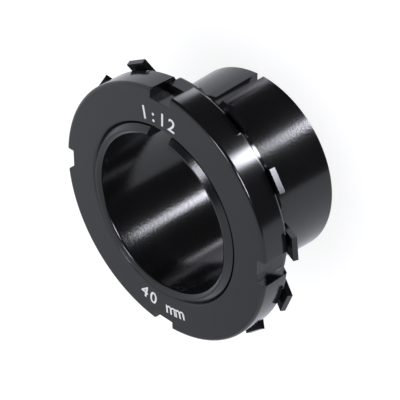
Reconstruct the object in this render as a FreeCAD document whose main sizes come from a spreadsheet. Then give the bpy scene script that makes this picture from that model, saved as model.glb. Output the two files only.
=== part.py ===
import FreeCAD, Part
import os
import Sketcher

# Bearing adapter sleeve with its lock nut and lock washer, all in millimetres.
# The sleeve stands on the large end of its taper: that end face is Z = 0 and the bore's axis is +Z.
# The slit, the keyway, the locked washer tab and one slot of the nut all lie on the +X side.

DIMENSIONS = [
    # Sleeve
    ("bore_dia", 40.0, "shaft bore"),
    ("thread_wall", 2.5, "from the bore to the thread crests, and to the taper where the washer bears"),
    ("sleeve_length", 33.0, "end to end"),
    ("taper_run", 12.0, "length in which the taper gains 1 in diameter"),
    ("thread_length", 13.2, "from the front end to the relief groove"),
    ("relief_width", 2.2, "groove between thread and taper"),
    ("relief_depth", 0.95, "groove below the thread crests"),
    ("front_chamfer", 1.15, "lead-in of the thread, 45 degrees"),
    ("bore_chamfer", 0.8, "both mouths of the bore, 45 degrees"),
    ("rear_chamfer", 0.5, "large end of the taper, 45 degrees"),
    ("slit_width", 2.0, "slit along the whole sleeve"),
    ("keyway_width", 6.5, "slot for the washer's tongue"),
    ("keyway_cutter", 50.0, "diameter of the disc that mills the keyway, which shapes its run-out"),
    ("keyway_sink", 0.5, "keyway's floor inside the shaft bore"),
    ("keyway_lead", 5.0, "from the washer's rear face forward to where the run-out begins"),
    ("front_stand", 0.85, "front end of the sleeve above the nut's face"),
    # Lock nut
    ("nut_wall", 10.0, "from the thread crests to the plain rim"),
    ("nut_width", 10.0, "face to face"),
    ("bevel_band", 4.5, "rear bevel across the nut, from the rim to its bearing face"),
    ("bevel_lead", 5.0, "degrees by which the nut's rear bevel is steeper than the tabs"),
    ("edge_height", 0.9, "front edge chamfer along the axis"),
    ("edge_drop", 0.5, "front edge chamfer across the face"),
    ("nut_mouth", 0.5, "chamfer at both mouths of the nut's bore"),
    ("slot_count", 4.0, "spanner slots"),
    ("slot_width", 6.2, "spanner slot"),
    ("slot_depth", 2.5, "spanner slot below the rim"),
    ("thread_play", 0.05, "nut bore around the thread crests"),
    # Lock washer
    ("sheet_gauge", 1.25, "thickness of the washer's sheet"),
    ("tab_overhang", 2.0, "tips of the bent tabs outside the nut's rim"),
    ("tab_count", 13.0, "tabs round the washer, the locked one among them"),
    ("tab_angle", 25.0, "degrees by which the tabs rise towards the nut"),
    ("tab_bend", 0.8, "inside radius where a tab leaves the ring"),
    ("slot_play", 0.15, "each side of a tab in a spanner slot"),
    ("floor_play", 0.05, "locked tab above the slot's floor"),
    ("locked_reach", 4.35, "tip of the locked tab above the nut's rear face"),
    ("washer_play", 0.15, "washer bore around the thread crests"),
    ("tongue_play", 0.25, "each side of the tongue in the keyway"),
    ("tongue_inset", 0.25, "tongue's inner edge outside the shaft bore"),
]

SHEET = "Dimensions"
OUTPUT_FOLDER = "parts"


def sized(text):
    """Return the expression with every dimension's name led by the sheet's label."""
    for name, _, _ in sorted(DIMENSIONS, key=lambda row: -len(row[0])):
        text = text.replace("[" + name + "]", "<<" + SHEET + ">>." + name)
    return text


def make_sheet(doc):
    """Write each driving dimension, its name and its meaning to one row of the sheet."""
    sheet = doc.addObject("Spreadsheet::Sheet", SHEET)
    for row, (name, value, meaning) in enumerate(DIMENSIONS, start=1):
        sheet.set("A%d" % row, name)
        sheet.set("B%d" % row, str(value))
        sheet.set("C%d" % row, meaning)
        sheet.setAlias("B%d" % row, name)
    doc.recompute()
    return sheet


def value_of(owner, text):
    """Return the number that an expression stands for now."""
    result = owner.evalExpression(sized(text))
    return float(getattr(result, "Value", result))


def origin_item(body, role):
    """Return the plane or axis of the body's own origin that has this role."""
    return next(item for item in body.Origin.OriginFeatures if item.Role == role)


def make_body(doc, name, height=None):
    """Add a body whose origin stands at the given height on the common axis."""
    body = doc.addObject("PartDesign::Body", name)
    body.Label = name
    if height is not None:
        body.setExpression("Placement.Base.z", sized(height))
    return body


def make_sketch(body, name, role, turn=None):
    """Add a sketch on an origin plane, turned about Z where asked."""
    sketch = body.newObject("Sketcher::SketchObject", name)
    sketch.AttachmentSupport = [(origin_item(body, role), "")]
    sketch.MapMode = "FlatFace"
    if turn is not None:
        upright = FreeCAD.Rotation(FreeCAD.Vector(0, 1, 0), value_of(sketch, turn))
        sketch.AttachmentOffset = FreeCAD.Placement(FreeCAD.Vector(), upright)
        sketch.setExpression("AttachmentOffset.Rotation.Angle", sized(turn))
    return sketch


def pin_point(sketch, geometry, end, corner):
    """Hold one end of a sketch curve at a corner given by two expressions."""
    for kind, text in (("DistanceX", corner[0]), ("DistanceY", corner[1])):
        distance = value_of(sketch, text)
        index = sketch.addConstraint(Sketcher.Constraint(kind, -1, 1, geometry, end, distance))
        sketch.setExpression("Constraints[%d]" % index, sized(text))


def draw_outline(sketch, corners, arcs=None):
    """Draw a closed outline through the corners.

    arcs gives, by the number of the corner where it starts, the radius, the centre and
    whether the arc runs anticlockwise. Every other side is straight.
    """
    arcs = arcs or {}
    points = [FreeCAD.Vector(value_of(sketch, x), value_of(sketch, y), 0) for x, y in corners]
    starts = []
    for index, start in enumerate(points):
        end = points[(index + 1) % len(points)]
        if index in arcs:
            radius, centre, anticlockwise = arcs[index]
            hub = FreeCAD.Vector(value_of(sketch, centre[0]), value_of(sketch, centre[1]), 0)
            first, last = (start, end) if anticlockwise else (end, start)
            circle = Part.Circle(hub, FreeCAD.Vector(0, 0, 1), value_of(sketch, radius))
            curve = Part.ArcOfCircle(circle, circle.parameter(first), circle.parameter(last))
            side = sketch.addGeometry(curve, False)
            limit = sketch.addConstraint(Sketcher.Constraint("Radius", side, value_of(sketch, radius)))
            sketch.setExpression("Constraints[%d]" % limit, sized(radius))
            starts.append((side, 1, 2) if anticlockwise else (side, 2, 1))
        else:
            side = sketch.addGeometry(Part.LineSegment(start, end), False)
            starts.append((side, 1, 2))
    for index, (side, start, _) in enumerate(starts):
        before, _, finish = starts[index - 1]
        sketch.addConstraint(Sketcher.Constraint("Coincident", before, finish, side, start))
        pin_point(sketch, side, start, corners[index])


def draw_circle(sketch, radius):
    """Draw a circle about the sketch's origin."""
    curve = Part.Circle(FreeCAD.Vector(), FreeCAD.Vector(0, 0, 1), value_of(sketch, radius))
    side = sketch.addGeometry(curve, False)
    sketch.addConstraint(Sketcher.Constraint("Coincident", side, 3, -1, 1))
    limit = sketch.addConstraint(Sketcher.Constraint("Radius", side, value_of(sketch, radius)))
    sketch.setExpression("Constraints[%d]" % limit, sized(radius))


def turn_profile(body, sketch, name):
    """Turn a profile round the body's axis, as on a lathe."""
    turned = body.newObject("PartDesign::Revolution", name)
    turned.Profile = sketch
    turned.ReferenceAxis = (origin_item(body, "Z_Axis"), [""])
    turned.Angle = 360.0
    return turned


def raise_pad(body, sketch, name, length, both_ways=False):
    """Pad a profile along its sketch's normal."""
    pad = body.newObject("PartDesign::Pad", name)
    pad.Profile = sketch
    pad.SideType = "Symmetric" if both_ways else "One side"
    pad.setExpression("Length", sized(length))
    return pad


def cut_pocket(body, sketch, name, length, both_ways=False):
    """Cut a profile upwards from its sketch, or half the length to each side of it."""
    pocket = body.newObject("PartDesign::Pocket", name)
    pocket.Profile = sketch
    pocket.SideType = "Symmetric" if both_ways else "One side"
    pocket.Reversed = not both_ways
    pocket.setExpression("Length", sized(length))
    return pocket


def repeat_round(body, feature, name, angle, count):
    """Repeat a feature round the body's axis and make the pattern the body's tip."""
    pattern = body.newObject("PartDesign::PolarPattern", name)
    pattern.Originals = [feature]
    pattern.Axis = (origin_item(body, "Z_Axis"), [""])
    pattern.setExpression("Angle", sized(angle))
    pattern.setExpression("Occurrences", sized(count))
    body.Tip = pattern
    return pattern


# Heights and radii that several pieces share
SEAT_HEIGHT = "([sleeve_length] - [front_stand] - [nut_width] - [sheet_gauge])"
THREAD_END = "([sleeve_length] - [thread_length])"
BORE_R = "([bore_dia] / 2)"
THREAD_R = "(" + BORE_R + " + [thread_wall])"
RIM_R = "(" + THREAD_R + " + [nut_wall])"
FACE_R = "(" + RIM_R + " - [bevel_band])"
FLOOR_R = "(" + RIM_R + " - [slot_depth])"
BEVEL = "([tab_angle] + [bevel_lead])"


def taper_radius(height):
    """Return the radius of the taper at a height, where the washer's seat has the thread's size."""
    return "(" + THREAD_R + " + (" + SEAT_HEIGHT + " - (" + height + ")) / (2 * [taper_run]))"


def make_sleeve(doc):
    """Sleeve: turned with its taper, thread land and relief, then slit and keyed on the +X side."""
    body = make_body(doc, "adapter_sleeve")
    top = "[sleeve_length]"
    relief_r = "(" + THREAD_R + " - [relief_depth])"
    relief_end = "(" + THREAD_END + " - [relief_width])"
    relief_low = "(" + relief_end + " + [relief_depth])"
    rear_r = taper_radius("[rear_chamfer]")
    profile = make_sketch(body, "sleeve_profile", "XZ_Plane")
    draw_outline(profile, [
        (BORE_R + " + [bore_chamfer]", "0"),
        (rear_r + " - [rear_chamfer]", "0"),
        (rear_r, "[rear_chamfer]"),
        (taper_radius(relief_end), relief_end),
        (relief_r, relief_low),
        (relief_r, THREAD_END + " - [relief_depth]"),
        (THREAD_R, THREAD_END),
        (THREAD_R, top + " - [front_chamfer]"),
        (THREAD_R + " - [front_chamfer]", top),
        (BORE_R + " + [bore_chamfer]", top),
        (BORE_R, top + " - [bore_chamfer]"),
        (BORE_R, "[bore_chamfer]"),
    ])
    turn_profile(body, profile, "sleeve_blank")

    outside = RIM_R
    slit = make_sketch(body, "slit_outline", "XY_Plane")
    draw_outline(slit, [
        (BORE_R + " / 2", "-[slit_width] / 2"),
        (outside, "-[slit_width] / 2"),
        (outside, "[slit_width] / 2"),
        (BORE_R + " / 2", "[slit_width] / 2"),
    ])
    cut_pocket(body, slit, "slit", top)

    # Side view of the keyway: through the wall at the thread, then rising out of it round the disc
    cutter_r = "([keyway_cutter] / 2)"
    floor_x = "(" + BORE_R + " - [keyway_sink])"
    hub = (floor_x + " + " + cutter_r, "(" + SEAT_HEIGHT + " + [keyway_lead])")
    keyway = make_sketch(body, "keyway_outline", "XZ_Plane")
    draw_outline(keyway, [
        (floor_x, top),
        (floor_x, hub[1]),
        (hub[0], hub[1] + " - " + cutter_r),
        (hub[0], top),
    ], arcs={1: (cutter_r, hub, True)})
    body.Tip = cut_pocket(body, keyway, "keyway", "[keyway_width]", both_ways=True)
    return body


def make_nut(doc):
    """Lock nut: a turned ring with a steep rear bevel and spanner slots across its rim."""
    body = make_body(doc, "lock_nut", SEAT_HEIGHT + " + [sheet_gauge]")
    width = "[nut_width]"
    bore_r = "(" + THREAD_R + " + [thread_play])"
    bevel_height = "[bevel_band] * tan(" + BEVEL + " * 1deg)"
    profile = make_sketch(body, "nut_profile", "XZ_Plane")
    draw_outline(profile, [
        (bore_r + " + [nut_mouth]", "0"),
        (FACE_R, "0"),
        (RIM_R, bevel_height),
        (RIM_R, width + " - [edge_height]"),
        (RIM_R + " - [edge_drop]", width),
        (bore_r + " + [nut_mouth]", width),
        (bore_r, width + " - [nut_mouth]"),
        (bore_r, "[nut_mouth]"),
    ])
    turn_profile(body, profile, "nut_blank")

    slot = make_sketch(body, "slot_outline", "XY_Plane")
    draw_outline(slot, [
        (FLOOR_R, "-[slot_width] / 2"),
        (RIM_R + " + [slot_depth]", "-[slot_width] / 2"),
        (RIM_R + " + [slot_depth]", "[slot_width] / 2"),
        (FLOOR_R, "[slot_width] / 2"),
    ])
    cut = cut_pocket(body, slot, "spanner_slot", width)
    repeat_round(body, cut, "spanner_slots", "360", "[slot_count]")
    return body


def make_washer(doc):
    """Lock washer: a stamped ring with an inner tongue, bent tabs and one tab locked in a slot."""
    body = make_body(doc, "lock_washer", SEAT_HEIGHT)
    gauge = "[sheet_gauge]"
    ring = make_sketch(body, "ring_outline", "XY_Plane")
    draw_circle(ring, FACE_R)
    draw_circle(ring, THREAD_R + " + [washer_play]")
    raise_pad(body, ring, "ring", gauge)

    tongue = make_sketch(body, "tongue_outline", "XY_Plane")
    tongue_half = "([keyway_width] / 2 - [tongue_play])"
    tongue_root = THREAD_R + " + [washer_play] + " + gauge
    draw_outline(tongue, [
        (BORE_R + " + [tongue_inset]", "-" + tongue_half),
        (tongue_root, "-" + tongue_half),
        (tongue_root, tongue_half),
        (BORE_R + " + [tongue_inset]", tongue_half),
    ])
    raise_pad(body, tongue, "tongue", gauge)

    # Side view of a tab: it leaves the ring's edge in a bend and rises straight to its square tip
    tab_width = "[slot_width] - 2 * [slot_play]"
    root = "(" + FACE_R + " - " + gauge + ")"
    hub = (FACE_R, "(" + gauge + " + [tab_bend])")
    outer_bend = "([tab_bend] + " + gauge + ")"

    def on_bend(radius, angle):
        """Return the point on the root's bend where the sheet has turned by the angle."""
        return (hub[0] + " + " + radius + " * sin(" + angle + " * 1deg)",
                hub[1] + " - " + radius + " * cos(" + angle + " * 1deg)")

    lower = on_bend(outer_bend, "[tab_angle]")
    upper = on_bend("[tab_bend]", "[tab_angle]")
    tip_r = "(" + RIM_R + " + [tab_overhang])"
    run = "(" + tip_r + " - (" + lower[0] + ")) * tan([tab_angle] * 1deg)"
    tip_low = (tip_r, lower[1] + " + " + run)
    tip_high = (tip_low[0] + " - " + gauge + " * sin([tab_angle] * 1deg)",
                tip_low[1] + " + " + gauge + " * cos([tab_angle] * 1deg)")
    tab_step = "360 / [tab_count]"
    tab = make_sketch(body, "tab_outline", "XZ_Plane", turn=tab_step)
    draw_outline(tab, [
        (root, "0"),
        (FACE_R, "0"),
        lower,
        tip_low,
        tip_high,
        upper,
        (FACE_R, gauge),
        (root, gauge),
    ], arcs={1: (outer_bend, hub, True), 5: ("[tab_bend]", hub, False)})
    first_tab = raise_pad(body, tab, "tab", tab_width, both_ways=True)
    spread = "360 - 2 * " + tab_step
    repeat_round(body, first_tab, "tabs", spread, "[tab_count] - 1")

    # The locked tab follows the nut's bevel and is then bent flat onto the slot's floor
    inner_x = "(" + FLOOR_R + " + [floor_play])"
    bevel_low = on_bend(outer_bend, BEVEL)
    bevel_high = on_bend("[tab_bend]", BEVEL)
    fold = (inner_x, bevel_high[1] + " + (" + inner_x + " - (" + bevel_high[0] + ")) * tan(" + BEVEL + " * 1deg)")
    fold_start = (fold[0] + " + " + gauge + " * sin(" + BEVEL + " * 1deg)",
                  fold[1] + " - " + gauge + " * cos(" + BEVEL + " * 1deg)")
    outer_x = inner_x + " + " + gauge
    tip = gauge + " + [locked_reach]"
    locked = make_sketch(body, "locked_tab_outline", "XZ_Plane")
    draw_outline(locked, [
        (root, "0"),
        (FACE_R, "0"),
        bevel_low,
        fold_start,
        (outer_x, fold[1]),
        (outer_x, tip),
        (inner_x, tip),
        fold,
        bevel_high,
        (FACE_R, gauge),
        (root, gauge),
    ], arcs={1: (outer_bend, hub, True), 3: (gauge, fold, True), 8: ("[tab_bend]", hub, False)})
    body.Tip = raise_pad(body, locked, "locked_tab", tab_width, both_ways=True)
    return body


def check_document(doc, bodies):
    """Stop if any feature failed or any piece isn't one sound solid."""
    for item in doc.Objects:
        if "Invalid" in item.State or "Error" in item.State:
            raise RuntimeError("%s failed: %s" % (item.Label, item.State))
    for body in bodies:
        shape = body.Shape
        if shape.isNull() or not shape.isValid() or len(shape.Solids) != 1:
            raise RuntimeError("%s is not one sound solid" % body.Label)
        box = shape.BoundBox
        print("%-15s volume %9.1f  X %.2f to %.2f  Y %.2f to %.2f  Z %.2f to %.2f" % (
            body.Label, shape.Volume, box.XMin, box.XMax, box.YMin, box.YMax, box.ZMin, box.ZMax))


def main():
    doc = FreeCAD.newDocument("AdapterSleeve")
    make_sheet(doc)
    bodies = [make_sleeve(doc), make_nut(doc), make_washer(doc)]
    doc.recompute()
    check_document(doc, bodies)
    os.makedirs(OUTPUT_FOLDER, exist_ok=True)
    for body in bodies:
        body.Shape.exportStep(os.path.join(OUTPUT_FOLDER, body.Label + ".step"))


main()
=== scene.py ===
import logging
import math
from dataclasses import dataclass, field
from enum import Enum
from typing import Callable, Optional, Sequence, Union

import bpy
from mathutils import Matrix, Vector

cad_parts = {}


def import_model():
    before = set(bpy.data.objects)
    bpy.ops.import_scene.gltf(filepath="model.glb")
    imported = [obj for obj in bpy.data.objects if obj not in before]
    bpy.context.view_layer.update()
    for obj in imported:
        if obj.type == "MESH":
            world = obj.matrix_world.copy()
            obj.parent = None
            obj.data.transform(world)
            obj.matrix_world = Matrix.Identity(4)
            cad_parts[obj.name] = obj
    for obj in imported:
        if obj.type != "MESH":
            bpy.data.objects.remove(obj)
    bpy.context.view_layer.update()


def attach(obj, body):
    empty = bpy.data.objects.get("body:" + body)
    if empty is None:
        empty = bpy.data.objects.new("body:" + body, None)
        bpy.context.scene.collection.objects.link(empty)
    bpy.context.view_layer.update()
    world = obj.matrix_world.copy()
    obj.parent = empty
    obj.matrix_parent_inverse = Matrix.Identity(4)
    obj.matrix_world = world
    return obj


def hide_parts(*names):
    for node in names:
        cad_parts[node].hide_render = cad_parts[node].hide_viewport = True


# Looks of a bearing adapter sleeve with its lock nut and lock washer. Lengths are in metres.
# The bore's axis is Z. The slit, the keyway and the locked tab are on the +X side.

MM = 0.001
FULL_TURN = 2 * math.pi
ORIGIN = (0.0, 0.0, 0.0)
MERGE = 0.002 * MM
NEAR = 0.01 * MM
SAME_SHARE = 1e-9
SMOOTH_LIMIT_DEG = 40.0
BUMP_DISTANCE = 0.1 * MM
LOG = logging.getLogger("adapter_sleeve")

Point2 = tuple[float, float]
Point3 = tuple[float, float, float]
Feed = Union[bpy.types.NodeSocket, float]


class Side(Enum):
    """The way a letter's top points on the nut's face."""

    RIM = 1
    BORE = -1


# Editing helpers

def deselect() -> None:
    """Leave object mode with nothing selected."""
    if bpy.context.object and bpy.context.object.mode != "OBJECT":
        bpy.ops.object.mode_set(mode="OBJECT")
    bpy.ops.object.select_all(action="DESELECT")


def activate(piece: bpy.types.Object) -> None:
    """Select one object alone and make it active."""
    deselect()
    piece.select_set(True)
    bpy.context.view_layer.objects.active = piece


def pick(piece: bpy.types.Object, wanted: Callable[[Vector], bool]) -> None:
    """Select the vertices whose place passes a test, and the edges and faces between them.

    Args:
        piece: The mesh object, which is in edit mode.
        wanted: The test of a vertex's place.
    """
    bpy.ops.mesh.select_mode(type="VERT")
    bpy.ops.mesh.select_all(action="DESELECT")
    bpy.ops.object.mode_set(mode="OBJECT")
    for vertex in piece.data.vertices:
        vertex.select = wanted(vertex.co)
    bpy.ops.object.mode_set(mode="EDIT")


def apply_modifier(piece: bpy.types.Object, name: str) -> None:
    """Apply a modifier of an object by name."""
    activate(piece)
    bpy.ops.object.modifier_apply(modifier=name)


def cut_away(piece: bpy.types.Object, cutter: bpy.types.Object) -> None:
    """Cut one closed mesh out of another and delete the cutter."""
    cut = piece.modifiers.new("cut", "BOOLEAN")
    cut.operation = "DIFFERENCE"
    cut.solver = "EXACT"
    cut.object = cutter
    apply_modifier(piece, "cut")
    bpy.data.objects.remove(cutter, do_unlink=True)


def break_edges(piece: bpy.types.Object, width: float, limit_deg: float) -> None:
    """Round the edges that are sharper than a limit."""
    bevel = piece.modifiers.new("edges", "BEVEL")
    bevel.width = width
    bevel.segments = 2
    bevel.limit_method = "ANGLE"
    bevel.angle_limit = math.radians(limit_deg)
    bevel.harden_normals = False
    apply_modifier(piece, "edges")


def finish_shading(piece: bpy.types.Object) -> None:
    """Smooth the shading across rounded edges, with the flat faces kept flat."""
    activate(piece)
    bpy.ops.object.shade_smooth_by_angle(angle=math.radians(SMOOTH_LIMIT_DEG))
    flat = piece.modifiers.new("flat", "WEIGHTED_NORMAL")
    flat.weight = 100
    flat.keep_sharp = True
    apply_modifier(piece, "flat")


def make_block(name: str, low: Point3, high: Point3) -> bpy.types.Object:
    """Make a box between two corners."""
    deselect()
    bpy.ops.mesh.primitive_cube_add(size=1.0)
    block = bpy.context.object
    block.name = name
    centre = [(a + b) / 2 for a, b in zip(low, high)]
    extent = [b - a for a, b in zip(low, high)]
    for vertex in block.data.vertices:
        vertex.co = Vector([c + v * e for c, v, e in zip(centre, vertex.co, extent)])
    return block


def rounded(corners: Sequence[Point3], steps: int = 4) -> list[Point2]:
    """Round the corners of a closed outline with arcs.

    Args:
        corners: Distance from the axis, height and rounding radius of each corner.
        steps: The number of chords in each arc.

    Returns:
        The outline's points.
    """
    points: list[Point2] = []
    for index, (x, z, radius) in enumerate(corners):
        here = Vector((x, z))
        if radius <= 0:
            points.append((x, z))
            continue
        before = Vector(corners[index - 1][:2]) - here
        after = Vector(corners[(index + 1) % len(corners)][:2]) - here
        before.normalize()
        after.normalize()
        half = before.angle(after) / 2
        middle = (before + after).normalized()
        hub = here + middle * (radius / math.sin(half))
        start = here + before * (radius / math.tan(half)) - hub
        finish = here + after * (radius / math.tan(half)) - hub
        sweep = start.angle(finish)
        for step in range(steps + 1):
            share = step / steps
            blend = start * math.sin((1 - share) * sweep) + finish * math.sin(share * sweep)
            spot = hub + blend / math.sin(sweep)
            points.append((spot.x, spot.y))
    return points


def turn_on_lathe(name: str, outline: Sequence[Point2], segments: int) -> bpy.types.Object:
    """Turn a closed outline round the Z axis, ring by ring.

    Args:
        name: The piece's name.
        outline: Radius and height of each station, once round the section.
        segments: The number of vertices in each ring.

    Returns:
        The closed mesh object.
    """
    deselect()
    radius, height = outline[0]
    bpy.ops.mesh.primitive_circle_add(
        vertices=segments, radius=radius, fill_type="NOTHING", location=(0, 0, height)
    )
    piece = bpy.context.object
    piece.name = name
    bpy.ops.object.transform_apply(location=True, rotation=True, scale=True)
    bpy.ops.object.mode_set(mode="EDIT")
    bpy.ops.mesh.select_all(action="SELECT")
    for next_radius, next_height in list(outline[1:]) + [outline[0]]:
        bpy.ops.mesh.extrude_region_move(TRANSFORM_OT_translate={"value": (0, 0, next_height - height)})
        share = next_radius / radius
        if abs(share - 1) > SAME_SHARE:
            bpy.ops.transform.resize(value=(share, share, 1), center_override=ORIGIN)
        radius, height = next_radius, next_height
    bpy.ops.mesh.select_all(action="SELECT")
    bpy.ops.mesh.remove_doubles(threshold=MERGE)
    bpy.ops.mesh.normals_make_consistent(inside=False)
    bpy.ops.object.mode_set(mode="OBJECT")
    return piece


# Finishes

def add_group(
    name: str, inputs: Sequence[tuple[str, str, float]], outputs: Sequence[tuple[str, str]]
) -> tuple[bpy.types.NodeTree, bpy.types.Node, bpy.types.Node]:
    """Start a shader node group.

    Args:
        name: The group's name.
        inputs: Name, socket type and default of each input.
        outputs: Name and socket type of each output.

    Returns:
        The group, its input node and its output node.
    """
    group = bpy.data.node_groups.new(name, "ShaderNodeTree")
    for label, kind, default in inputs:
        socket = group.interface.new_socket(name=label, in_out="INPUT", socket_type=kind)
        if kind == "NodeSocketFloat":
            socket.default_value = default
    for label, kind in outputs:
        group.interface.new_socket(name=label, in_out="OUTPUT", socket_type=kind)
    return group, group.nodes.new("NodeGroupInput"), group.nodes.new("NodeGroupOutput")


def add_math(
    nodes: bpy.types.Nodes, links: bpy.types.NodeLinks, operation: str,
    first: Feed, second: Optional[Feed] = None, clamp: bool = False,
) -> bpy.types.NodeSocket:
    """Add a Math node.

    Args:
        nodes: The nodes of the tree.
        links: The links of the tree.
        operation: The node's operation.
        first: The socket or number that feeds its first input.
        second: The socket or number that feeds its second input, if it has one.
        clamp: Whether the result is kept between 0 and 1.

    Returns:
        The node's output socket.
    """
    node = nodes.new("ShaderNodeMath")
    node.operation = operation
    node.use_clamp = clamp
    for slot, value in enumerate((first, second)):
        if value is None:
            continue
        if isinstance(value, (int, float)):
            node.inputs[slot].default_value = value
        else:
            links.new(value, node.inputs[slot])
    return node.outputs[0]


def turning_group() -> bpy.types.NodeTree:
    """Make the fine marks of a lathe tool, as rings that follow both radius and height.

    Returns:
        The node group.
    """
    group, entry, leave = add_group(
        "turning_marks",
        [
            ("Vector", "NodeSocketVector", 0),
            ("Pitch", "NodeSocketFloat", 9000.0),
            ("Unevenness", "NodeSocketFloat", 0.5),
        ],
        [("Height", "NodeSocketFloat")],
    )
    nodes, links = group.nodes, group.links
    split = nodes.new("ShaderNodeSeparateXYZ")
    links.new(entry.outputs["Vector"], split.inputs[0])
    squares = [
        add_math(nodes, links, "MULTIPLY", split.outputs[axis], split.outputs[axis]) for axis in (0, 1)
    ]
    radius = add_math(nodes, links, "SQRT", add_math(nodes, links, "ADD", *squares))
    angle = add_math(nodes, links, "ARCTAN2", split.outputs[1], split.outputs[0])
    place = nodes.new("ShaderNodeCombineXYZ")
    links.new(add_math(nodes, links, "MULTIPLY", radius, entry.outputs["Pitch"]), place.inputs[0])
    links.new(add_math(nodes, links, "MULTIPLY", split.outputs[2], entry.outputs["Pitch"]), place.inputs[1])
    links.new(add_math(nodes, links, "MULTIPLY", angle, entry.outputs["Unevenness"]), place.inputs[2])
    grain = nodes.new("ShaderNodeTexNoise")
    grain.inputs["Scale"].default_value = 1.0
    grain.inputs["Detail"].default_value = 3.0
    grain.inputs["Roughness"].default_value = 0.6
    links.new(place.outputs[0], grain.inputs["Vector"])
    links.new(grain.outputs["Fac"], leave.inputs["Height"])
    return group


def mottle_group() -> bpy.types.NodeTree:
    """Make the uneven blackening: a mask of broad clouds and one of fine specks.

    Returns:
        The node group.
    """
    group, entry, leave = add_group(
        "oxide_mottle",
        [
            ("Vector", "NodeSocketVector", 0),
            ("Cloud scale", "NodeSocketFloat", 60.0),
            ("Speck scale", "NodeSocketFloat", 2500.0),
        ],
        [("Clouds", "NodeSocketFloat"), ("Specks", "NodeSocketFloat")],
    )
    nodes, links = group.nodes, group.links
    for output, source, detail in (("Clouds", "Cloud scale", 4.0), ("Specks", "Speck scale", 2.0)):
        noise = nodes.new("ShaderNodeTexNoise")
        noise.inputs["Detail"].default_value = detail
        links.new(entry.outputs["Vector"], noise.inputs["Vector"])
        links.new(entry.outputs[source], noise.inputs["Scale"])
        links.new(noise.outputs["Fac"], leave.inputs[output])
    return group


@dataclass(frozen=True)
class BlackOxide:
    """Black oxide on steel: near black, lightly oiled, with the marks of its making underneath."""

    name: str
    dark: tuple[float, float, float] = (0.0080, 0.0080, 0.0084)
    light: tuple[float, float, float] = (0.0120, 0.0120, 0.0126)
    ior: float = 1.5
    roughness: float = 0.16
    roughness_swing: float = 0.02
    mark_pitch: float = 9000.0
    mark_depth: float = 0.01
    speck_depth: float = 0.01
    speck_scale: float = 2500.0

    def build(self, turning: bpy.types.NodeTree, mottle: bpy.types.NodeTree) -> bpy.types.Material:
        """Make the material.

        Args:
            turning: The node group of lathe marks.
            mottle: The node group of uneven blackening.

        Returns:
            The material.
        """
        material = bpy.data.materials.new(self.name)
        material.use_nodes = True
        nodes, links = material.node_tree.nodes, material.node_tree.links
        shader = nodes["Principled BSDF"]
        shader.inputs["Metallic"].default_value = 0.0
        shader.inputs["IOR"].default_value = self.ior
        place = nodes.new("ShaderNodeTexCoord")
        marks = nodes.new("ShaderNodeGroup")
        marks.node_tree = turning
        marks.inputs["Pitch"].default_value = self.mark_pitch
        clouds = nodes.new("ShaderNodeGroup")
        clouds.node_tree = mottle
        clouds.inputs["Speck scale"].default_value = self.speck_scale
        for node in (marks, clouds):
            links.new(place.outputs["Object"], node.inputs["Vector"])

        colour = nodes.new("ShaderNodeMix")
        colour.data_type = "RGBA"
        colour.inputs["A"].default_value = (*self.dark, 1.0)
        colour.inputs["B"].default_value = (*self.light, 1.0)
        links.new(clouds.outputs["Clouds"], colour.inputs["Factor"])
        links.new(colour.outputs["Result"], shader.inputs["Base Color"])

        spread = add_math(nodes, links, "SUBTRACT", clouds.outputs["Clouds"], 0.5)
        scaled = add_math(nodes, links, "MULTIPLY", spread, 2 * self.roughness_swing)
        roughness = add_math(nodes, links, "ADD", scaled, self.roughness, clamp=True)
        links.new(roughness, shader.inputs["Roughness"])

        rings = nodes.new("ShaderNodeBump")
        rings.inputs["Strength"].default_value = self.mark_depth
        rings.inputs["Distance"].default_value = BUMP_DISTANCE
        links.new(marks.outputs["Height"], rings.inputs["Height"])
        specks = nodes.new("ShaderNodeBump")
        specks.inputs["Strength"].default_value = self.speck_depth
        specks.inputs["Distance"].default_value = BUMP_DISTANCE
        links.new(clouds.outputs["Specks"], specks.inputs["Height"])
        links.new(rings.outputs["Normal"], specks.inputs["Normal"])
        links.new(specks.outputs["Normal"], shader.inputs["Normal"])
        return material


@dataclass(frozen=True)
class MarkingInk:
    """White filled marks, a little uneven in tone."""

    name: str = "white_marking"
    white: tuple[float, float, float] = (0.93, 0.93, 0.93)
    shade: tuple[float, float, float] = (0.84, 0.84, 0.85)
    roughness: float = 0.55
    cloud_scale: float = 900.0

    def build(self, mottle: bpy.types.NodeTree) -> bpy.types.Material:
        """Make the material.

        Args:
            mottle: The node group of uneven tone.

        Returns:
            The material.
        """
        material = bpy.data.materials.new(self.name)
        material.use_nodes = True
        nodes, links = material.node_tree.nodes, material.node_tree.links
        shader = nodes["Principled BSDF"]
        shader.inputs["Roughness"].default_value = self.roughness
        place = nodes.new("ShaderNodeTexCoord")
        clouds = nodes.new("ShaderNodeGroup")
        clouds.node_tree = mottle
        clouds.inputs["Cloud scale"].default_value = self.cloud_scale
        links.new(place.outputs["Object"], clouds.inputs["Vector"])
        colour = nodes.new("ShaderNodeMix")
        colour.data_type = "RGBA"
        colour.inputs["A"].default_value = (*self.shade, 1.0)
        colour.inputs["B"].default_value = (*self.white, 1.0)
        links.new(clouds.outputs["Clouds"], colour.inputs["Factor"])
        links.new(colour.outputs["Result"], shader.inputs["Base Color"])
        return material


# The three pieces and the marks

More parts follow.
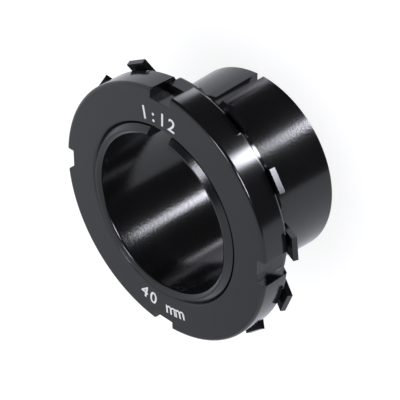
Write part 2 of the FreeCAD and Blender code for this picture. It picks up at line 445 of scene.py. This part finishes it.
@dataclass
class Sleeve:
    """The slit sleeve: thread land, relief groove and 1:12 taper round a plain bore."""

    bore_r: float = 20.0 * MM
    thread_r: float = 22.5 * MM
    length: float = 33.0 * MM
    seat_height: float = 20.9 * MM
    taper_run: float = 12.0
    thread_length: float = 13.2 * MM
    relief_width: float = 2.2 * MM
    relief_depth: float = 0.95 * MM
    front_chamfer: float = 1.15 * MM
    mouth_width: float = 0.95 * MM
    mouth_depth: float = 0.55 * MM
    mouth_round: float = 0.8 * MM
    rear_chamfer: float = 0.2 * MM
    edge_round: float = 0.08 * MM
    slit_width: float = 2.0 * MM
    keyway_width: float = 6.5 * MM
    keyway_sink: float = 0.5 * MM
    keyway_lead: float = 5.0 * MM
    mill_r: float = 25.0 * MM
    segments: int = 360

    def taper_r(self, height: float) -> float:
        """Return the radius of the taper at a height."""
        return self.thread_r + (self.seat_height - height) / (2 * self.taper_run)

    def section(self) -> list[Point2]:
        """Return the section's outline, with its corners lightly rounded."""
        top, edge = self.length, self.edge_round
        thread_end = top - self.thread_length
        relief_end = thread_end - self.relief_width
        relief_r = self.thread_r - self.relief_depth
        rear_r = self.taper_r(self.rear_chamfer)
        return rounded([
            (self.bore_r + self.mouth_width, 0.0, edge),
            (rear_r - self.rear_chamfer, 0.0, edge),
            (rear_r, self.rear_chamfer, edge),
            (self.taper_r(relief_end), relief_end, edge),
            (relief_r, relief_end + self.relief_depth, edge),
            (relief_r, thread_end - self.relief_depth, 0.0),
            (self.thread_r, thread_end, edge),
            (self.thread_r, top - self.front_chamfer, edge),
            (self.thread_r - self.front_chamfer, top, edge),
            (self.bore_r + self.mouth_width, top, edge),
            (self.bore_r, top - self.mouth_depth, self.mouth_round),
            (self.bore_r, self.mouth_depth, self.mouth_round),
        ])

    def slit_cutter(self) -> bpy.types.Object:
        """Make a block that cuts through the wall on the +X side from end to end."""
        half = self.slit_width / 2
        low = (self.bore_r / 2, -half, -self.length)
        high = (2 * self.thread_r, half, 2 * self.length)
        return make_block("slit_cutter", low, high)

    def keyway_cutter(self) -> bpy.types.Object:
        """Make the room that a disc mill sweeps as it is fed forwards along the +X side.

        Returns:
            The closed mesh object: the disc, with its upper half moved out past the front end.
        """
        deselect()
        hub_x = self.bore_r - self.keyway_sink + self.mill_r
        hub_z = self.seat_height + self.keyway_lead
        bpy.ops.mesh.primitive_cylinder_add(
            vertices=self.segments, radius=self.mill_r, depth=self.keyway_width,
            location=(hub_x, 0, hub_z), rotation=(math.radians(90), 0, 0),
        )
        mill = bpy.context.object
        mill.name = "keyway_cutter"
        bpy.ops.object.transform_apply(location=True, rotation=True, scale=True)
        bpy.ops.object.mode_set(mode="EDIT")
        pick(mill, lambda co: co.z > hub_z + self.edge_round)
        bpy.ops.transform.translate(value=(0, 0, self.length))
        bpy.ops.object.mode_set(mode="OBJECT")
        return mill

    def build(self) -> bpy.types.Object:
        """Turn the blank and cut the slit and the keyway.

        Returns:
            The sleeve's mesh object.
        """
        piece = turn_on_lathe("sleeve_body", self.section(), self.segments)
        cut_away(piece, self.slit_cutter())
        cut_away(piece, self.keyway_cutter())
        finish_shading(piece)
        return piece


@dataclass
class LockNut:
    """The lock nut: a ring with a chamfered front edge, a steep rear bevel and spanner slots."""

    rear: float = 22.15 * MM
    width: float = 10.0 * MM
    bore_r: float = 22.55 * MM
    rim_r: float = 32.5 * MM
    face_r: float = 28.0 * MM
    bevel_deg: float = 30.0
    front_round: float = 0.9 * MM
    mouth: float = 0.65 * MM
    slot_count: int = 4
    slot_width: float = 6.2 * MM
    slot_depth: float = 2.5 * MM
    rear_round: float = 0.5 * MM
    crisp: float = 0.09 * MM
    round_steps: int = 3
    front_steps: int = 7
    sharp_deg: float = 20.0
    segments: int = 288

    @property
    def front(self) -> float:
        """Return the height of the front face."""
        return self.rear + self.width

    @property
    def rim_rear(self) -> float:
        """Return the height of the rim's rear edge, where the bevel ends."""
        return self.rear + (self.rim_r - self.face_r) * math.tan(math.radians(self.bevel_deg))

    def section(self) -> list[Point2]:
        """Return the section's outline, with the rim's front corner rounded and the others sharp."""
        return rounded([
            (self.bore_r + self.mouth, self.rear, 0.0),
            (self.face_r, self.rear, 0.0),
            (self.rim_r, self.rim_rear, 0.0),
            (self.rim_r, self.front, self.front_round),
            (self.bore_r + self.mouth, self.front, 0.0),
            (self.bore_r, self.front - self.mouth, 0.0),
            (self.bore_r, self.rear + self.mouth, 0.0),
        ], steps=self.front_steps)

    def round_edges(self, piece: bpy.types.Object) -> None:
        """Round every sharp edge, the rim's rear edge more than the others.

        Args:
            piece: The nut with its slots cut.
        """
        activate(piece)
        bpy.ops.object.mode_set(mode="EDIT")
        bpy.ops.mesh.select_mode(type="EDGE")
        bpy.ops.mesh.select_all(action="DESELECT")
        bpy.ops.mesh.edges_select_sharp(sharpness=math.radians(self.sharp_deg))
        bpy.ops.object.mode_set(mode="OBJECT")
        mesh = piece.data
        weights = mesh.attributes.new("bevel_weight_edge", "FLOAT", "EDGE")
        for edge in mesh.edges:
            if edge.select:
                heights = [mesh.vertices[end].co.z for end in edge.vertices]
                at_rear = all(abs(height - self.rim_rear) < NEAR for height in heights)
                weights.data[edge.index].value = 1.0 if at_rear else self.crisp / self.rear_round
        bevel = piece.modifiers.new("edges", "BEVEL")
        bevel.width = self.rear_round
        bevel.segments = self.round_steps
        bevel.limit_method = "WEIGHT"
        bevel.use_clamp_overlap = False
        bevel.harden_normals = False
        apply_modifier(piece, "edges")

    def build(self) -> bpy.types.Object:
        """Turn the blank, cut the spanner slots and break their edges.

        Returns:
            The nut's mesh object.
        """
        piece = turn_on_lathe("nut_body", self.section(), self.segments)
        half = self.slot_width / 2
        for turn in range(self.slot_count):
            block = make_block(
                "slot_cutter",
                (self.rim_r - self.slot_depth, -half, self.rear - self.width),
                (self.rim_r + self.slot_depth, half, self.front + self.width),
            )
            block.data.transform(Matrix.Rotation(turn * FULL_TURN / self.slot_count, 4, "Z"))
            cut_away(piece, block)
        self.round_edges(piece)
        finish_shading(piece)
        return piece


@dataclass
class LockWasher:
    """The lock washer: one stamped sheet, with tabs bent out of its plane and one locked tab."""

    rear: float = 20.9 * MM
    gauge: float = 1.25 * MM
    ring_r: float = 28.0 * MM
    land: float = 0.5 * MM
    slide_steps: float = 0.6
    bore_r: float = 22.65 * MM
    tip_r: float = 34.5 * MM
    tab_count: int = 13
    tab_deg: float = 25.0
    bevel_deg: float = 30.0
    bend_r: float = 0.8 * MM
    floor_r: float = 30.05 * MM
    fold_r: float = 0.2 * MM
    locked_tip: float = 26.5 * MM
    tongue_r: float = 20.25 * MM
    tongue_half: float = 3.0 * MM
    edge_round: float = 0.12 * MM
    sharp_deg: float = 50.0
    merge: float = 0.005 * MM
    steps_per_tab: int = 16
    tab_steps: int = 7
    tongue_steps: int = 9
    bend_steps: int = 5

    @property
    def segments(self) -> int:
        """Return the number of vertices round the ring."""
        return self.tab_count * self.steps_per_tab

    @property
    def middle_r(self) -> float:
        """Return the radius of a middle row of the ring, which keeps its faces short."""
        return (self.ring_r + self.bore_r) / 2

    @property
    def step(self) -> float:
        """Return the angle between two vertices of the ring."""
        return FULL_TURN / self.segments

    def bend(self, hub: Point2, radius: float, first_deg: float, last_deg: float) -> list[Point2]:
        """Draw the rear of a bend, from one slope of the sheet to the next.

        Args:
            hub: The bend's centre.
            radius: Its outer radius.
            first_deg: The sheet's slope where the bend begins.
            last_deg: The sheet's slope where it ends.

        Returns:
            The bend's points, without its first.
        """
        points = []
        for index in range(1, self.bend_steps + 1):
            slope = math.radians(first_deg + (last_deg - first_deg) * index / self.bend_steps)
            points.append((hub[0] + radius * math.sin(slope), hub[1] - radius * math.cos(slope)))
        return points

    def raised_path(self) -> list[Point2]:
        """Return the rear line of a raised tab, from the ring's edge to the tip."""
        outer = self.bend_r + self.gauge
        path = [(self.ring_r, self.rear)]
        path += self.bend((self.ring_r, self.rear + outer), outer, 0.0, self.tab_deg)
        rise = (self.tip_r - path[-1][0]) * math.tan(math.radians(self.tab_deg))
        return path + [(self.tip_r, path[-1][1] + rise)]

    def locked_path(self) -> list[Point2]:
        """Return the rear line of the locked tab: up the nut's bevel, then onto the slot's floor."""
        outer = self.bend_r + self.gauge
        slope = math.radians(self.bevel_deg)
        path = [(self.ring_r, self.rear)]
        path += self.bend((self.ring_r, self.rear + outer), outer, 0.0, self.bevel_deg)
        fold = self.fold_r + self.gauge
        hub_x = self.floor_r - self.fold_r
        start_x = hub_x + fold * math.sin(slope)
        start_z = path[-1][1] + (start_x - path[-1][0]) * math.tan(slope)
        hub = (hub_x, start_z + fold * math.cos(slope))
        path.append((start_x, start_z))
        path += self.bend(hub, fold, self.bevel_deg, 90.0)
        return path + [(self.floor_r + self.gauge, self.locked_tip)]

    def strip(
        self, name: str, radius: float, steps: int, path: Sequence[Point2], widen: float = 1.0
    ) -> bpy.types.Object:
        """Draw a strip of sheet outwards from the ring's edge along a path on the +X side.

        Args:
            name: The strip's name.
            radius: The radius of the ring's edge that it leaves.
            steps: How many of the ring's edges it is wide.
            path: Radius and height of each row after the edge's own, the bend line first.
            widen: The strip's width over the width of the edges that it leaves.

        Returns:
            The open mesh object.
        """
        deselect()
        bpy.ops.mesh.primitive_circle_add(
            vertices=self.segments, radius=radius, fill_type="NOTHING",
            location=(0, 0, self.rear), rotation=(0, 0, self.step / 2),
        )
        piece = bpy.context.object
        piece.name = name
        bpy.ops.object.transform_apply(location=True, rotation=True, scale=True)
        limit = (steps / 2 + 0.25) * self.step
        bpy.ops.object.mode_set(mode="EDIT")
        pick(piece, lambda co: abs(math.atan2(co.y, co.x)) > limit)
        bpy.ops.mesh.delete(type="VERT")
        bpy.ops.mesh.select_all(action="SELECT")
        x, z = path[0]
        bpy.ops.mesh.extrude_region_move(TRANSFORM_OT_translate={"value": (x - radius, 0, z - self.rear)})
        bpy.ops.transform.resize(value=(0, widen, 1), center_override=(x, 0, z))
        for next_x, next_z in path[1:]:
            bpy.ops.mesh.extrude_region_move(TRANSFORM_OT_translate={"value": (next_x - x, 0, next_z - z)})
            x, z = next_x, next_z
        bpy.ops.object.mode_set(mode="OBJECT")
        return piece

    def on_edge(self, place: Vector, first: float, last: float) -> bool:
        """Tell whether a vertex lies on the ring's edge, between two angles from a tab's middle.

        Args:
            place: The vertex's place.
            first: The first angle, in steps of the ring.
            last: The last angle, in steps of the ring.

        Returns:
            Whether it does.
        """
        turn = math.atan2(place.y, place.x) / self.step % self.steps_per_tab
        near = abs(place.xy.length - self.ring_r) < self.edge_round
        return near and abs(place.z - self.rear) < self.edge_round and first < turn < last

    def widen_ring(self, piece: bpy.types.Object) -> None:
        """Move the ring's edge outwards between the tabs, right up to their sides.

        Args:
            piece: The washer's sheet before it has a thickness, in edit mode.
        """
        side = self.tab_steps / 2
        far_side = self.steps_per_tab - side
        slide = self.slide_steps * self.step
        # The operator turns clockwise, seen from above
        for beside, clockwise in ((side + 1, slide), (far_side - 1, -slide)):
            pick(piece, lambda co: self.on_edge(co, beside - 0.5, beside + 0.5))
            bpy.ops.transform.rotate(value=clockwise, orient_axis="Z", center_override=ORIGIN)
        reach = (1 - self.slide_steps) / 2
        pick(piece, lambda co: self.on_edge(co, side + reach, far_side - reach))
        share = 1 + self.land / self.ring_r
        bpy.ops.transform.resize(value=(share, share, 1), center_override=ORIGIN)

    def build(self) -> bpy.types.Object:
        """Draw the rear of the sheet, give it its thickness and break its edges.

        Returns:
            The washer's mesh object.
        """
        deselect()
        bpy.ops.mesh.primitive_circle_add(
            vertices=self.segments, radius=self.ring_r, fill_type="NOTHING",
            location=(0, 0, self.rear), rotation=(0, 0, self.step / 2),
        )
        piece = bpy.context.object
        piece.name = "washer_sheet"
        bpy.ops.object.transform_apply(location=True, rotation=True, scale=True)
        bpy.ops.object.mode_set(mode="EDIT")
        bpy.ops.mesh.select_all(action="SELECT")
        for radius, next_radius in ((self.ring_r, self.middle_r), (self.middle_r, self.bore_r)):
            share = next_radius / radius
            bpy.ops.mesh.extrude_region_move(TRANSFORM_OT_translate={"value": ORIGIN})
            bpy.ops.transform.resize(value=(share, share, 1), center_override=ORIGIN)
        bpy.ops.object.mode_set(mode="OBJECT")

        parts = [piece, self.strip("locked_tab", self.ring_r, self.tab_steps, self.locked_path())]
        for index in range(1, self.tab_count):
            tab = self.strip("tab", self.ring_r, self.tab_steps, self.raised_path())
            tab.data.transform(Matrix.Rotation(index * FULL_TURN / self.tab_count, 4, "Z"))
            parts.append(tab)
        edge_half = self.bore_r * math.sin(self.tongue_steps * self.step / 2)
        tongue_path = [(self.tongue_r, self.rear)]
        widen = self.tongue_half / edge_half
        parts.append(self.strip("tongue", self.bore_r, self.tongue_steps, tongue_path, widen))
        deselect()
        for part in parts:
            part.select_set(True)
        bpy.context.view_layer.objects.active = piece
        bpy.ops.object.join()
        bpy.ops.object.mode_set(mode="EDIT")
        bpy.ops.mesh.select_all(action="SELECT")
        bpy.ops.mesh.remove_doubles(threshold=self.merge)
        bpy.ops.mesh.normals_make_consistent(inside=False)
        self.widen_ring(piece)
        bpy.ops.object.mode_set(mode="OBJECT")
        flat = next(face for face in piece.data.polygons if face.center.xy.length < self.ring_r)
        if flat.normal.z > 0:
            piece.data.flip_normals()

        sheet = piece.modifiers.new("gauge", "SOLIDIFY")
        sheet.thickness = self.gauge
        sheet.offset = -1.0
        sheet.use_even_offset = True
        sheet.use_quality_normals = True
        apply_modifier(piece, "gauge")
        break_edges(piece, self.edge_round, self.sharp_deg)
        finish_shading(piece)
        return piece


@dataclass
class FaceMarks:
    """Plain size marks on the nut's face: the taper and the bore in millimetres."""

    top_text: str = "1:12"
    low_text: str = "40 mm"
    height: float = 3.4 * MM
    middle_r: float = 26.1 * MM
    thickness: float = 0.03 * MM
    top_centre_deg: float = 1.5
    low_centre_deg: float = 179.5
    letter_step_deg: float = 6.4
    boldness: float = 0.06 * MM
    cap_share: float = 0.73
    merge: float = 0.0001 * MM
    face: float = 32.15 * MM

    def letter(self, text: str, angle_deg: float, side: Side) -> bpy.types.Object:
        """Set one letter flat on the face.

        Args:
            text: The letter.
            angle_deg: Where its centre stands round the bore's axis.
            side: Which way its top points.

        Returns:
            The letter's mesh object.
        """
        deselect()
        bpy.ops.object.text_add()
        piece = bpy.context.object
        piece.data.body = text
        piece.data.align_x = "CENTER"
        piece.data.size = self.height / self.cap_share
        piece.data.extrude = self.thickness / 2
        piece.data.offset = self.boldness
        bpy.ops.object.convert(target="MESH")
        piece = bpy.context.object
        middle = self.height / 2
        turn = math.radians(angle_deg) - side.value * math.radians(90)
        spot = Matrix.Rotation(math.radians(angle_deg), 4, "Z") @ Vector((self.middle_r, 0, self.face))
        place = (
            Matrix.Translation(spot + Vector((0, 0, self.thickness / 2)))
            @ Matrix.Rotation(turn, 4, "Z")
            @ Matrix.Translation(Vector((0, -middle, 0)))
        )
        piece.data.transform(place)
        return piece

    def build(self) -> bpy.types.Object:
        """Set both lines of marks along their arcs.

        Returns:
            One mesh object with every letter.
        """
        letters = []
        lines = (
            (self.top_text, self.top_centre_deg, Side.RIM),
            (self.low_text, self.low_centre_deg, Side.BORE),
        )
        for text, centre, side in lines:
            for index, sign in enumerate(text):
                if sign == " ":
                    continue
                along = (index - (len(text) - 1) / 2) * self.letter_step_deg
                letters.append(self.letter(sign, centre - side.value * along, side))
        deselect()
        for letter in letters:
            letter.select_set(True)
        bpy.context.view_layer.objects.active = letters[0]
        bpy.ops.object.join()
        marks = bpy.context.object
        marks.name = "face_marks"
        bpy.ops.object.mode_set(mode="EDIT")
        bpy.ops.mesh.select_all(action="SELECT")
        bpy.ops.mesh.remove_doubles(threshold=self.merge)
        bpy.ops.mesh.normals_make_consistent(inside=False)
        bpy.ops.object.mode_set(mode="OBJECT")
        return marks


# Studio

def heading(azimuth_deg: float, elevation_deg: float) -> Vector:
    """Return the unit vector at an azimuth from +X and an elevation above the floor."""
    azimuth, elevation = math.radians(azimuth_deg), math.radians(elevation_deg)
    level = math.cos(elevation)
    return Vector((level * math.cos(azimuth), level * math.sin(azimuth), math.sin(elevation)))


@dataclass
class SoftLight:
    """A rectangular lamp with faded edges, seen from the object at a heading and an angular size."""

    name: str
    azimuth_deg: float
    elevation_deg: float
    half_width_deg: float
    half_height_deg: float
    radiance: float
    fade_width: float = 0.4
    fade_height: float = 0.4
    roll_deg: float = 0.0
    tint: tuple[float, float, float] = (0.96, 0.97, 1.07)
    distance: float = 3.0
    glossy: bool = True
    diffuse: bool = False

    def fade_edges(self, data: bpy.types.Light) -> None:
        """Fade the lamp's brightness towards its edges.

        Args:
            data: The lamp's light data.
        """
        data.use_nodes = True
        nodes, links = data.node_tree.nodes, data.node_tree.links
        place = nodes.new("ShaderNodeNewGeometry")
        split = nodes.new("ShaderNodeSeparateXYZ")
        links.new(place.outputs["Parametric"], split.inputs[0])
        shares = []
        for axis, fade in ((0, self.fade_width), (1, self.fade_height)):
            offset = add_math(nodes, links, "SUBTRACT", split.outputs[axis], 0.5)
            share = nodes.new("ShaderNodeMapRange")
            share.interpolation_type = "SMOOTHSTEP"
            share.inputs["From Min"].default_value = 0.5
            share.inputs["From Max"].default_value = 0.5 * (1 - fade)
            links.new(add_math(nodes, links, "ABSOLUTE", offset), share.inputs["Value"])
            shares.append(share.outputs["Result"])
        links.new(add_math(nodes, links, "MULTIPLY", *shares), nodes["Emission"].inputs["Strength"])

    def build(self, target: Vector) -> bpy.types.Object:
        """Place the lamp and aim it.

        Args:
            target: The point that it faces.

        Returns:
            The lamp.
        """
        data = bpy.data.lights.new(self.name, "AREA")
        data.shape = "RECTANGLE"
        data.color = self.tint
        data.size = 2 * self.distance * math.tan(math.radians(self.half_width_deg))
        data.size_y = 2 * self.distance * math.tan(math.radians(self.half_height_deg))
        data.energy = self.radiance * math.pi * data.size * data.size_y
        self.fade_edges(data)
        lamp = bpy.data.objects.new(self.name, data)
        bpy.context.scene.collection.objects.link(lamp)
        back = heading(self.azimuth_deg, self.elevation_deg)
        across = Vector((0, 0, 1)).cross(back).normalized()
        turn = Matrix((across, back.cross(across), back)).transposed().to_4x4()
        roll = Matrix.Rotation(math.radians(self.roll_deg), 4, "Z")
        lamp.matrix_world = Matrix.Translation(target + back * self.distance) @ turn @ roll
        lamp.visible_camera = False
        lamp.visible_glossy = self.glossy
        lamp.visible_diffuse = self.diffuse
        return lamp


@dataclass
class Studio:
    """Pale floor, white surroundings, soft lamps and the camera."""

    nut_face: float = 32.15 * MM
    camera_azimuth_deg: float = -45.03
    camera_elevation_deg: float = 33.69
    camera_roll_deg: float = -119.92
    camera_distance: float = 413.86 * MM
    lens: float = 163.56
    sensor: float = 36.0
    shift: Point2 = (0.0967, 0.0362)
    clip: Point2 = (0.01, 100.0)
    floor_half: float = 4.0
    floor_tone: float = 0.35
    floor_roughness: float = 0.9
    floor_glow: float = 0.82
    sweep_azimuth_deg: float = 154.0
    sweep_elevation_deg: float = 6.0
    sweep_edge: tuple[float, float] = (-0.345, -0.315)
    sweep_white: float = 0.90
    sweep_tint: tuple[float, float, float] = (0.97, 0.99, 1.07)
    shade_azimuth_deg: float = 150.0
    shade_elevation_deg: float = 30.0
    shade_edge: tuple[float, float] = (0.92, 1.0)
    shade_depth: float = 0.36
    room_dark: float = 0.075
    lamps: list[SoftLight] = field(default_factory=lambda: [
        SoftLight("strip_side", -38.6, -51.6, 6.8, 19.5, 46.0, fade_width=0.8, fade_height=0.36),
        SoftLight("strip_top", 41.0, -44.0, 3.5, 14.0, 6.0, fade_width=0.5, fade_height=0.4, roll_deg=42.0),
        SoftLight("sweep_lip", 39.5, -36.0, 6.5, 10.0, 0.7, fade_width=0.6, fade_height=0.5),
        SoftLight("front_left", -19.0, 54.5, 8.5, 9.0, 14.0, fade_width=0.5),
        SoftLight("front_right", -55.3, 11.0, 9.7, 9.0, 24.0, fade_width=0.15),
        SoftLight("fill", -30.0, 70.0, 20.0, 20.0, 1.6, glossy=False, diffuse=True),
    ])

    def place_camera(self) -> None:
        """Place the camera at the viewing angle and frame the object."""
        data = bpy.data.cameras.new("camera")
        data.sensor_fit = "HORIZONTAL"
        data.sensor_width = self.sensor
        data.lens = self.lens
        data.shift_x, data.shift_y = self.shift
        data.clip_start, data.clip_end = self.clip
        camera = bpy.data.objects.new("camera", data)
        bpy.context.scene.collection.objects.link(camera)
        back = heading(self.camera_azimuth_deg, self.camera_elevation_deg)
        level = Vector((0, 0, 1)).cross(back).normalized()
        roll = math.radians(self.camera_roll_deg)
        right = level * math.cos(roll) + back.cross(level) * math.sin(roll)
        place = Vector((0, 0, self.nut_face)) + back * self.camera_distance
        turn = Matrix((right, back.cross(right), back)).transposed().to_4x4()
        camera.matrix_world = Matrix.Translation(place) @ turn
        bpy.context.scene.camera = camera

    def lay_floor(self) -> None:
        """Lay a pale floor that shows the object's shadow and lets the lamps below it shine through."""
        deselect()
        bpy.ops.mesh.primitive_plane_add(size=2 * self.floor_half, location=ORIGIN)
        floor = bpy.context.object
        floor.name = "floor"
        material = bpy.data.materials.new("pale_floor")
        material.use_nodes = True
        nodes, links = material.node_tree.nodes, material.node_tree.links
        shader = nodes["Principled BSDF"]
        shader.inputs["Base Color"].default_value = (self.floor_tone,) * 3 + (1.0,)
        shader.inputs["Roughness"].default_value = self.floor_roughness
        shader.inputs["Specular IOR Level"].default_value = 0.0
        shader.inputs["Emission Color"].default_value = (1.0, 1.0, 1.0, 1.0)
        path = nodes.new("ShaderNodeLightPath")
        glow = add_math(nodes, links, "MULTIPLY", path.outputs["Is Camera Ray"], self.floor_glow)
        links.new(glow, shader.inputs["Emission Strength"])
        floor.data.materials.append(material)
        floor.visible_glossy = False
        floor.visible_shadow = False

    def smooth_share(
        self, nodes: bpy.types.Nodes, links: bpy.types.NodeLinks, place: bpy.types.Node,
        direction: Vector, low: float, high: float,
    ) -> bpy.types.NodeSocket:
        """Add a share that rises from 0 to 1 as a ray turns towards a direction.

        Args:
            nodes: The nodes of the world.
            links: The links of the world.
            place: The node of texture coordinates.
            direction: The unit vector that the ray turns towards.
            low: The cosine at which the share is 0.
            high: The cosine at which it is 1.

        Returns:
            The share's socket.
        """
        facing = nodes.new("ShaderNodeVectorMath")
        facing.operation = "DOT_PRODUCT"
        facing.inputs[1].default_value = direction
        links.new(place.outputs["Generated"], facing.inputs[0])
        share = nodes.new("ShaderNodeMapRange")
        share.interpolation_type = "SMOOTHSTEP"
        share.inputs["From Min"].default_value = low
        share.inputs["From Max"].default_value = high
        links.new(facing.outputs["Value"], share.inputs["Value"])
        return share.outputs["Result"]

    def light_world(self) -> None:
        """Light the surroundings: a white sweep behind the object, a dark room on the camera's side.

        The camera itself sees plain white all round.
        """
        world = bpy.data.worlds.new("studio")
        bpy.context.scene.world = world
        world.use_nodes = True
        nodes, links = world.node_tree.nodes, world.node_tree.links
        nodes.clear()
        place = nodes.new("ShaderNodeTexCoord")
        sweep = heading(self.sweep_azimuth_deg, self.sweep_elevation_deg)
        white = self.smooth_share(nodes, links, place, sweep, *self.sweep_edge)
        shade = heading(self.shade_azimuth_deg, self.shade_elevation_deg)
        shaded = self.smooth_share(nodes, links, place, shade, *self.shade_edge)
        depth = add_math(nodes, links, "MULTIPLY", shaded, self.shade_depth)
        tone = add_math(nodes, links, "SUBTRACT", self.sweep_white, depth)
        lit = add_math(nodes, links, "MULTIPLY", white, tone)
        strength = add_math(nodes, links, "MAXIMUM", lit, self.room_dark)
        path = nodes.new("ShaderNodeLightPath")
        seen = nodes.new("ShaderNodeMix")
        seen.data_type = "FLOAT"
        seen.inputs["B"].default_value = 1.0
        links.new(path.outputs["Is Camera Ray"], seen.inputs["Factor"])
        links.new(strength, seen.inputs["A"])
        tint = nodes.new("ShaderNodeMix")
        tint.data_type = "RGBA"
        tint.inputs["A"].default_value = (*self.sweep_tint, 1.0)
        tint.inputs["B"].default_value = (1.0, 1.0, 1.0, 1.0)
        links.new(path.outputs["Is Camera Ray"], tint.inputs["Factor"])
        background = nodes.new("ShaderNodeBackground")
        links.new(tint.outputs["Result"], background.inputs["Color"])
        links.new(seen.outputs["Result"], background.inputs["Strength"])
        output = nodes.new("ShaderNodeOutputWorld")
        links.new(background.outputs[0], output.inputs["Surface"])

    def build(self) -> None:
        """Set the view, the floor, the surroundings and the lamps."""
        bpy.context.scene.view_settings.view_transform = "Standard"
        self.place_camera()
        self.lay_floor()
        self.light_world()
        target = Vector((0, 0, self.nut_face / 2))
        for lamp in self.lamps:
            lamp.build(target)


def add_piece(
    piece: bpy.types.Object, material: bpy.types.Material, node: Optional[str] = None
) -> None:
    """Give a piece its material and its body, and hide the CAD node that it replaces, if any.

    Args:
        piece: The finished mesh object.
        material: Its material.
        node: The CAD node that it replaces, if any.
    """
    piece.data.materials.clear()
    piece.data.materials.append(material)
    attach(piece, "root")
    if node:
        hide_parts(node)
    piece.data.calc_loop_triangles()
    LOG.info("%s: %d triangles, %s", piece.name, len(piece.data.loop_triangles), material.name)


def main() -> None:
    """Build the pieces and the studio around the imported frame."""
    logging.basicConfig(level=logging.INFO, format="%(name)s: %(message)s")
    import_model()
    Studio().build()
    turning, mottle = turning_group(), mottle_group()

    ground = BlackOxide(
        "oxide_on_ground_taper", roughness=0.155, roughness_swing=0.05, speck_depth=0.14, speck_scale=2000.0
    )
    turned = BlackOxide("oxide_on_turned_nut", roughness=0.145, mark_depth=0.004, speck_depth=0.002)
    rolled = BlackOxide("oxide_on_rolled_sheet", roughness=0.08, mark_depth=0.0, speck_depth=0.003)
    ink = MarkingInk()

    add_piece(Sleeve().build(), ground.build(turning, mottle), "adapter_sleeve")
    add_piece(LockNut().build(), turned.build(turning, mottle), "lock_nut")
    add_piece(LockWasher().build(), rolled.build(turning, mottle), "lock_washer")
    add_piece(FaceMarks().build(), ink.build(mottle))


if __name__ == "__main__":
    main()
